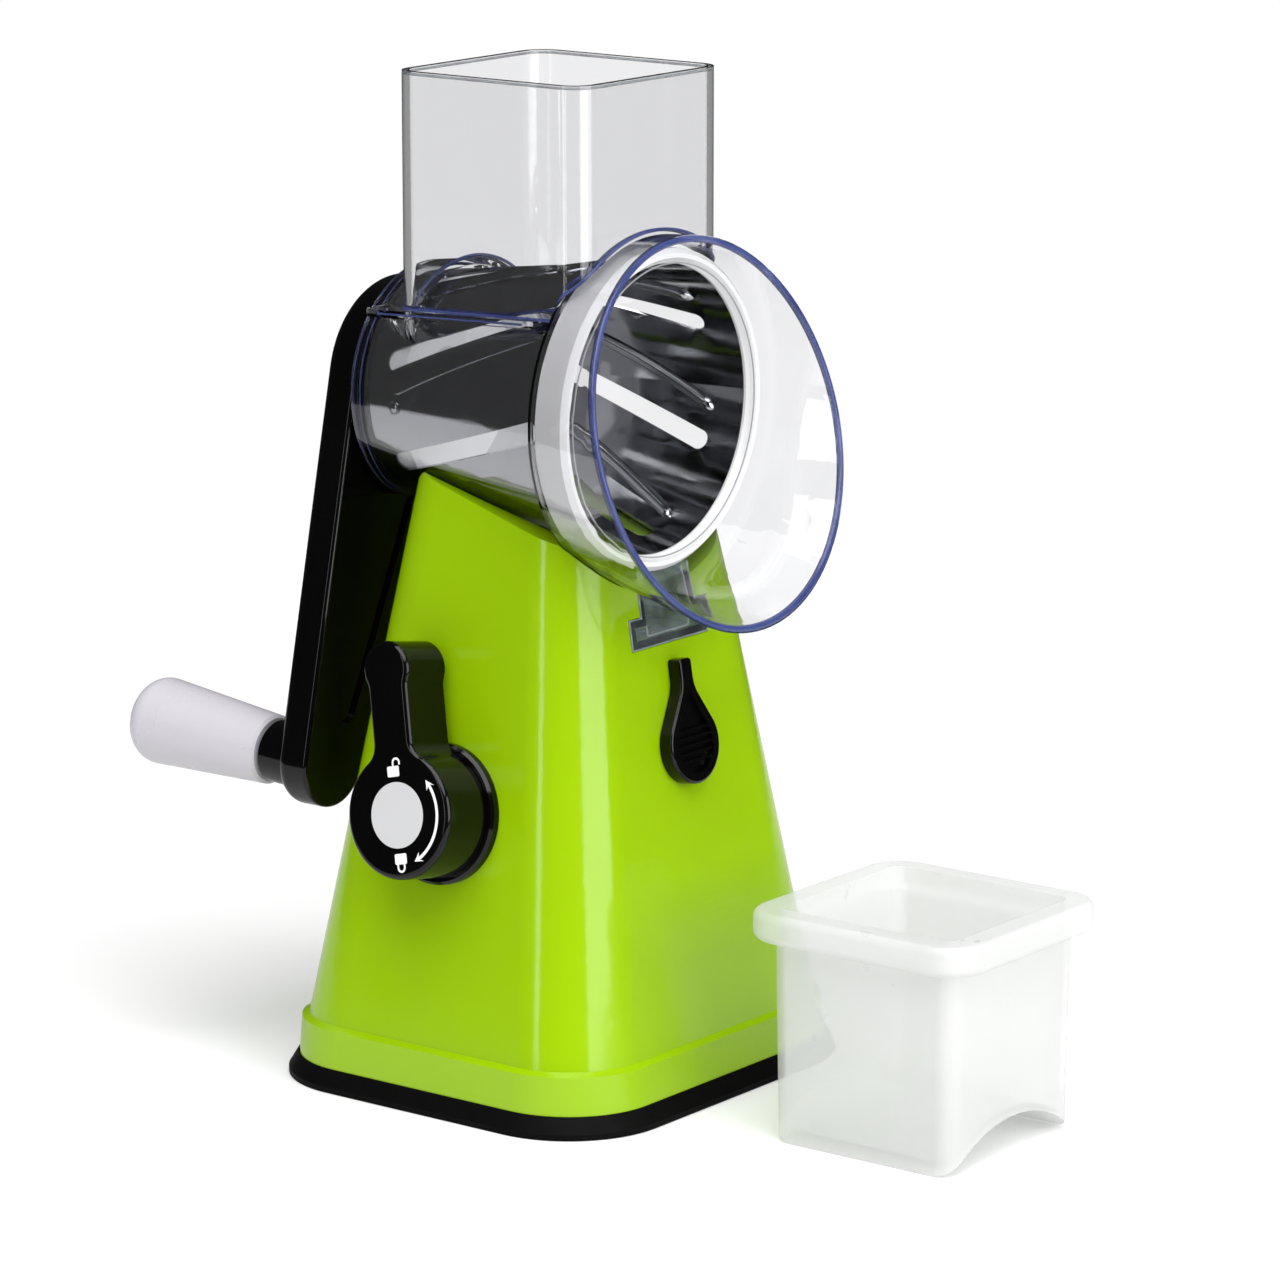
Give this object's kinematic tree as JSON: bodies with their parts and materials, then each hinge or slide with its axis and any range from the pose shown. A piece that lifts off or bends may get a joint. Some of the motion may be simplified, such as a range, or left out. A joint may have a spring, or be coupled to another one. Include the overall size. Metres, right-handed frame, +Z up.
{
  "type": "rotary cheese grater",
  "caption": "Tabletop rotary drum grater with a tapering tower, clear feed chute and outlet flare, hand crank, suction lever, release button and separate food pusher.",
  "frame": {"origin": "centre of the tower's rubber foot, on the table surface", "axes": "+Z up, +Y from the outlet flare towards the crank along the drum axis, -X the side of the suction lever"},
  "size_m": [0.1431, 0.2867, 0.29],
  "materials": {
    "green_abs": "glossy moulded ABS",
    "black_rubber": "satin moulded rubber",
    "black_gloss": "glossy moulded ABS",
    "black_inner": "satin moulded plastic",
    "natural_acetal": "satin acetal",
    "clear_plastic": "clear polished moulding",
    "white_plastic": "semi-gloss moulded plastic",
    "mirror_steel": "mirror polished stainless",
    "zinc_steel": "bright zinc plate",
    "spring_steel": "spring wire",
    "grey_grip": "satin light grey plastic",
    "milky_pp": "frosted translucent polypropylene"
  },
  "bodies": {
    "root": {"tower_shell": "green_abs", "suction_pad": "black_rubber", "base_plate": "black_inner", "base_screws": "zinc_steel", "cam_frame": "black_inner", "frame_screws": "zinc_steel", "knob_bezel": "black_gloss", "hopper": "clear_plastic", "latch_guide": "black_inner", "latch_screws": "zinc_steel", "latch_spring": "spring_steel", "pad_spring": "spring_steel"},
    "crank": {"drum_shell": "mirror_steel", "drum_ring": "white_plastic", "drum_back": "white_plastic", "drum_rivets": "mirror_steel", "drive_spindle": "black_inner", "crank_arm": "black_gloss", "spindle_screw": "zinc_steel", "hub_cap": "black_gloss", "grip_collar": "black_gloss", "grip_pin": "zinc_steel"},
    "grip": {"grip": "grey_grip", "grip_cap": "grey_grip"},
    "suction_lever": {"knob_lever": "black_gloss", "knob_cap": "white_plastic", "knob_screw": "zinc_steel", "cam_shaft": "zinc_steel", "lift_cam": "natural_acetal", "cam_pin": "zinc_steel", "shaft_clip": "zinc_steel"},
    "pad_pull": {"pad_insert": "zinc_steel", "insert_nut": "zinc_steel", "pull_yoke": "natural_acetal"},
    "release": {"release_button": "black_gloss", "latch_slide": "black_inner", "button_screw": "zinc_steel"},
    "food_pusher": {"pusher": "milky_pp"}
  },
  "joints": [
    {"name": "crank_spin", "type": "hinge", "parent": "root", "child": "crank", "pos_m": [0, 0.05, 0.1962], "axis": [0, 1, 0], "continuous": true},
    {"name": "grip_spin", "type": "hinge", "parent": "crank", "child": "grip", "pos_m": [-0.04046, 0.064, 0.08855], "axis": [0, 0.9981, 0.061], "continuous": true},
    {"name": "knob_turn", "type": "hinge", "parent": "root", "child": "suction_lever", "pos_m": [-0.0511, 0.003, 0.0835], "axis": [0.9849, 0, -0.173], "range_deg": [0, 180]},
    {"name": "pad_lift", "type": "slide", "parent": "root", "child": "pad_pull", "axis": [0, 0, 1], "range_m": [0, 0.005], "deforming": ["pad_spring"]},
    {"name": "release_slide", "type": "slide", "parent": "root", "child": "release", "axis": [0, -0.1564, -0.9877], "range_m": [0, 0.0055], "stiffness_N_per_m": 250, "springref_m": -0.003, "deforming": ["latch_spring"]},
    {"name": "pusher_lift", "type": "slide", "parent": "root", "child": "food_pusher", "axis": [0, 0, 1], "range_m": [0, 0.12]}
  ],
  "couplings": [
    {"joint": "pad_lift", "follows": "knob_turn", "m_per_rad": 0.0015915}
  ]
}
